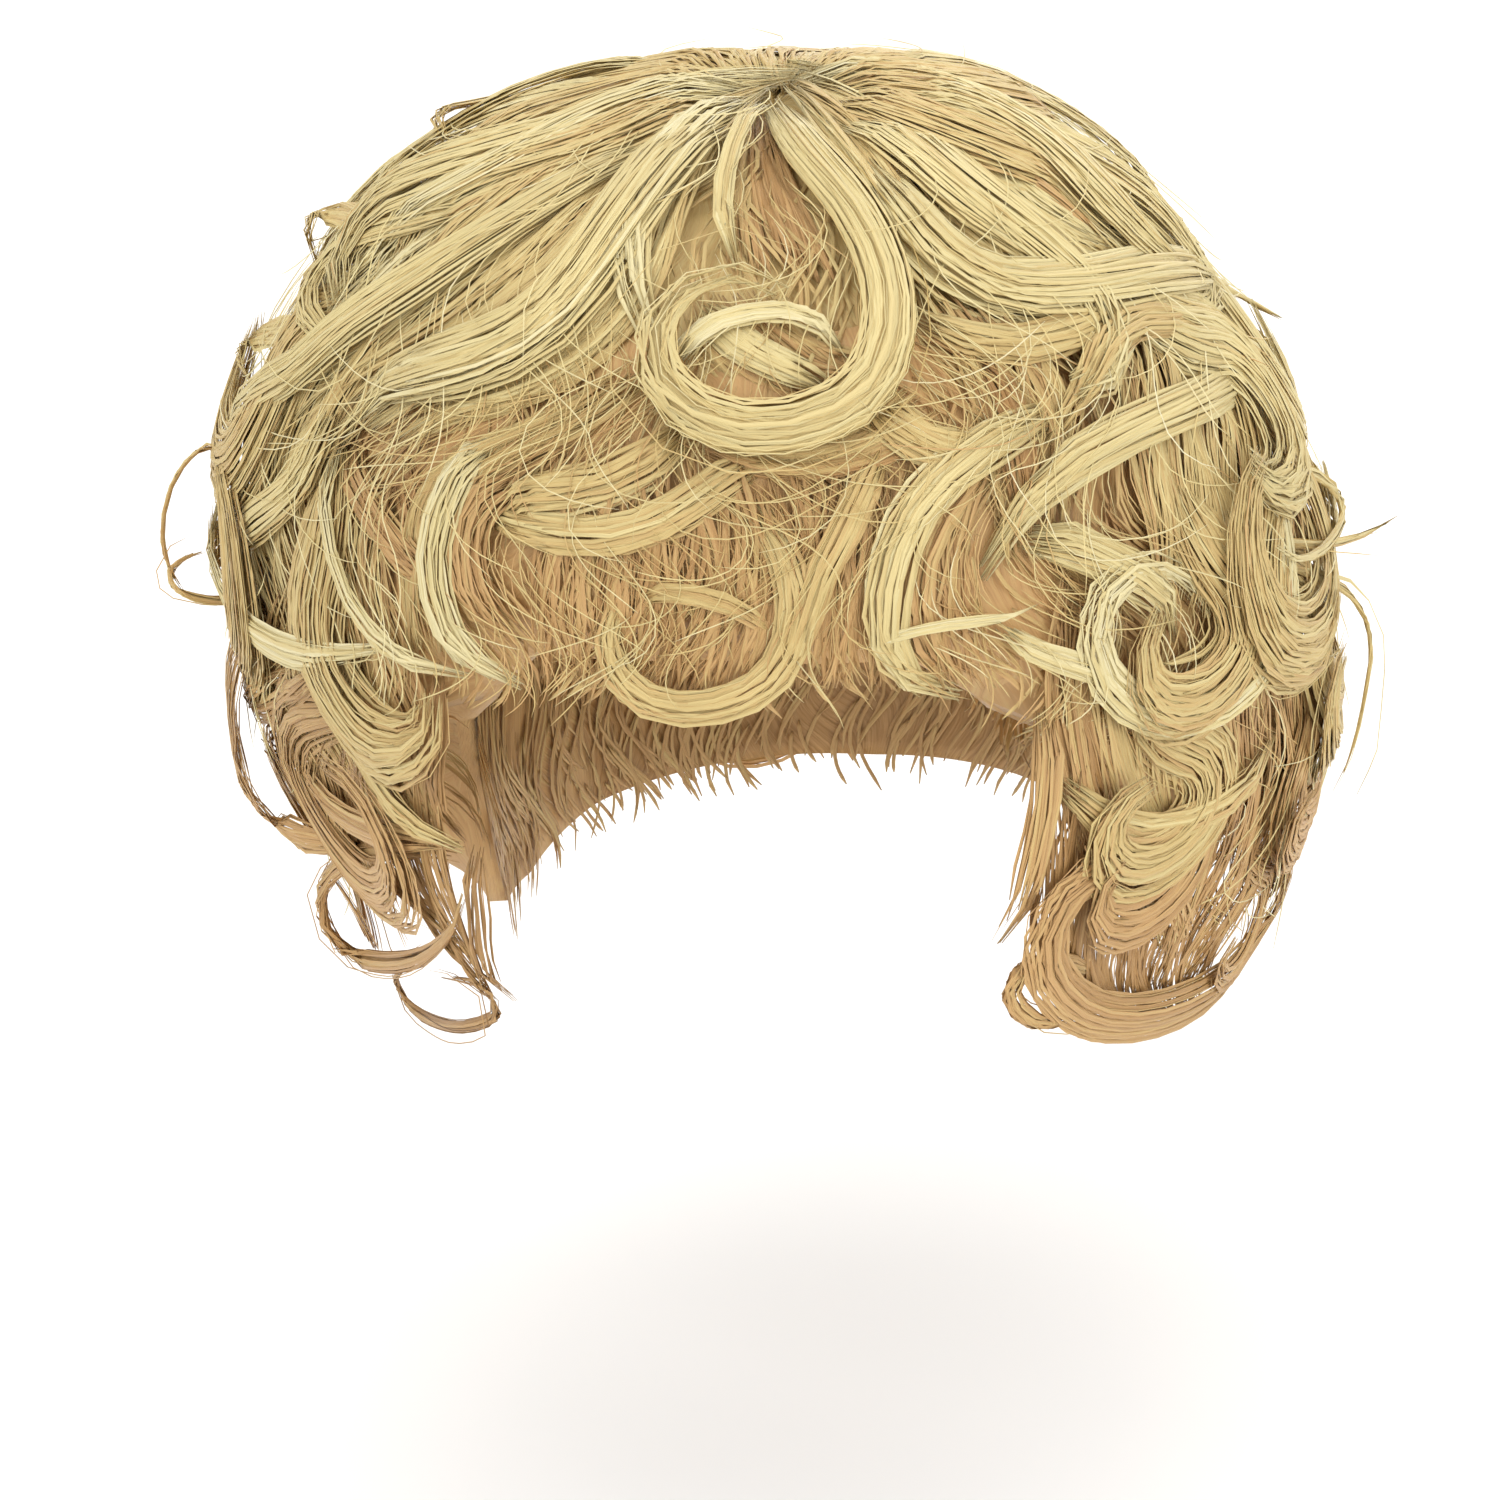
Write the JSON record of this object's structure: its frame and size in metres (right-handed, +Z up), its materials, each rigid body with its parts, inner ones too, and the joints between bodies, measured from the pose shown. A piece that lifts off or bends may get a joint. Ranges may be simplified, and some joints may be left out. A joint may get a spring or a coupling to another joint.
{
  "type": "short wavy wig",
  "caption": "Short wavy wig: a thin hollow cap covered with curled locks of hair, with a rolled ring curl over the brow and curls that hang over the ears and nape.",
  "frame": {"origin": "inside top of the cap, where the crown of a head meets it", "axes": "+Z up through the crown, -Y towards the brow, +X towards the wearer's left"},
  "size_m": [0.2693, 0.2518, 0.2331],
  "materials": {
    "cap_net": "knitted stretch net, matt",
    "hair_blond": "curled synthetic fibre, silky",
    "hair_honey": "curled synthetic fibre, silky, warmer shade"
  },
  "bodies": {
    "root": {"cap": "cap_net", "crown_hair": "hair_blond", "forehead_curl": "hair_blond", "fringe_curls": "hair_blond", "right_side_curls": "hair_blond", "left_side_curls": "hair_blond", "back_curls": "hair_blond", "nape_curls": "hair_honey"}
  },
  "joints": []
}
